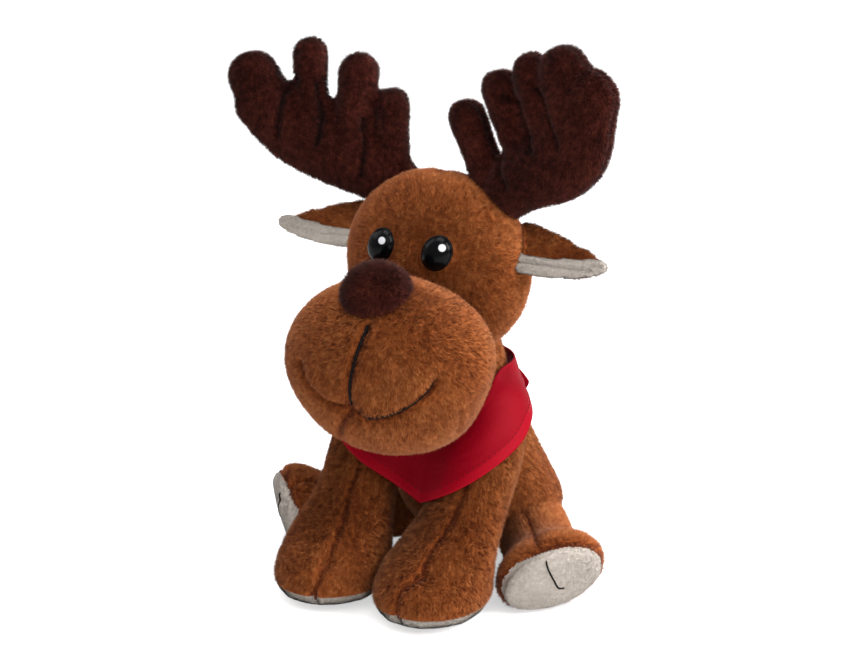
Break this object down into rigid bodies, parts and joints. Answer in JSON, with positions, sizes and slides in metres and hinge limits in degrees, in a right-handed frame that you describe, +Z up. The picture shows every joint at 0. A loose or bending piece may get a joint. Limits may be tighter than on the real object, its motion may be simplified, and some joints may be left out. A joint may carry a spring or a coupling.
{
  "type": "plush deer",
  "caption": "Seated stuffed deer with a large round muzzle, padded antlers, leaf ears, four stubby legs with felt soles and a red neckerchief, free-standing soft toy",
  "frame": {"origin": "on the floor, at the middle of the flat seat under the torso", "axes": "+Z up, the deer faces -Y, its left side is +X"},
  "size_m": [0.1787, 0.1654, 0.232],
  "materials": {
    "brown_plush": "short pile",
    "dark_plush": "short pile",
    "cream_felt": "felt",
    "red_cloth": "smooth cloth",
    "filling": "loose polyester fibre",
    "thread": "twisted thread",
    "black_plastic": "polished",
    "white_plastic": "moulded"
  },
  "bodies": {
    "torso": {"torso_skin": "brown_plush", "pellet_bag": "cream_felt", "torso_filling": "filling", "neckerchief_cloth": "red_cloth", "neckerchief_knot": "red_cloth", "neckerchief_end_left": "red_cloth", "neckerchief_end_right": "red_cloth"},
    "head": {"head_skin": "brown_plush", "muzzle_skin": "brown_plush", "head_filling": "filling", "nose_skin": "dark_plush", "nose_filling": "filling", "philtrum_thread": "thread", "mouth_thread": "thread", "eye_left": "black_plastic", "eye_washer_left": "white_plastic", "eye_right": "black_plastic", "eye_washer_right": "white_plastic"},
    "antler_left": {"antler_left_skin": "dark_plush", "antler_left_filling": "filling"},
    "ear_left": {"ear_left_back": "brown_plush", "ear_left_lining": "cream_felt"},
    "front_leg_left": {"front_leg_left_skin": "brown_plush", "front_leg_left_sole": "cream_felt", "front_leg_left_filling": "filling", "toe_stitch_front_left": "thread"},
    "hind_leg_left": {"hind_leg_left_skin": "brown_plush", "hind_leg_left_sole": "cream_felt", "hind_leg_left_filling": "filling", "toe_stitch_hind_left": "thread"},
    "antler_right": {"antler_right_skin": "dark_plush", "antler_right_filling": "filling"},
    "ear_right": {"ear_right_back": "brown_plush", "ear_right_lining": "cream_felt"},
    "front_leg_right": {"front_leg_right_skin": "brown_plush", "front_leg_right_sole": "cream_felt", "front_leg_right_filling": "filling", "toe_stitch_front_right": "thread"},
    "hind_leg_right": {"hind_leg_right_skin": "brown_plush", "hind_leg_right_sole": "cream_felt", "hind_leg_right_filling": "filling", "toe_stitch_hind_right": "thread"},
    "tail": {"tail": "brown_plush"}
  },
  "joints": [
    {"name": "neck_nod", "type": "hinge", "parent": "torso", "child": "head", "pos_m": [0, -0.021, 0.093], "axis": [1, 0, 0], "range_deg": [-12, 2], "stiffness_Nm_per_rad": 2},
    {"name": "antler_left_flex", "type": "hinge", "parent": "head", "child": "antler_left", "pos_m": [0.0265, -0.033, 0.164], "axis": [0, 1, 0], "range_deg": [-8, 8], "stiffness_Nm_per_rad": 0.3},
    {"name": "ear_left_flap", "type": "hinge", "parent": "head", "child": "ear_left", "pos_m": [0.037, -0.036, 0.146], "axis": [0, 1, 0], "range_deg": [-15, 15], "stiffness_Nm_per_rad": 0.05},
    {"name": "front_leg_left_swing", "type": "hinge", "parent": "torso", "child": "front_leg_left", "pos_m": [0.024, -0.04176, 0.064], "axis": [1, 0, 0], "range_deg": [-4, 2], "stiffness_Nm_per_rad": 1.5},
    {"name": "hind_leg_left_lift", "type": "hinge", "parent": "torso", "child": "hind_leg_left", "pos_m": [0.022, 0, 0.015], "axis": [1, 0, 0], "range_deg": [-20, 0], "stiffness_Nm_per_rad": 1},
    {"name": "antler_right_flex", "type": "hinge", "parent": "head", "child": "antler_right", "pos_m": [-0.0265, -0.033, 0.164], "axis": [0, 1, 0], "range_deg": [-8, 8], "stiffness_Nm_per_rad": 0.3},
    {"name": "ear_right_flap", "type": "hinge", "parent": "head", "child": "ear_right", "pos_m": [-0.037, -0.036, 0.146], "axis": [0, 1, 0], "range_deg": [-15, 15], "stiffness_Nm_per_rad": 0.05},
    {"name": "front_leg_right_swing", "type": "hinge", "parent": "torso", "child": "front_leg_right", "pos_m": [-0.024, -0.04176, 0.064], "axis": [1, 0, 0], "range_deg": [-4, 2], "stiffness_Nm_per_rad": 1.5},
    {"name": "hind_leg_right_lift", "type": "hinge", "parent": "torso", "child": "hind_leg_right", "pos_m": [-0.022, 0, 0.015], "axis": [1, 0, 0], "range_deg": [-20, 0], "stiffness_Nm_per_rad": 1},
    {"name": "tail_wag", "type": "hinge", "parent": "torso", "child": "tail", "pos_m": [0, 0.03278, 0.024], "axis": [0, 0, 1], "range_deg": [-15, 15], "stiffness_Nm_per_rad": 0.02}
  ]
}
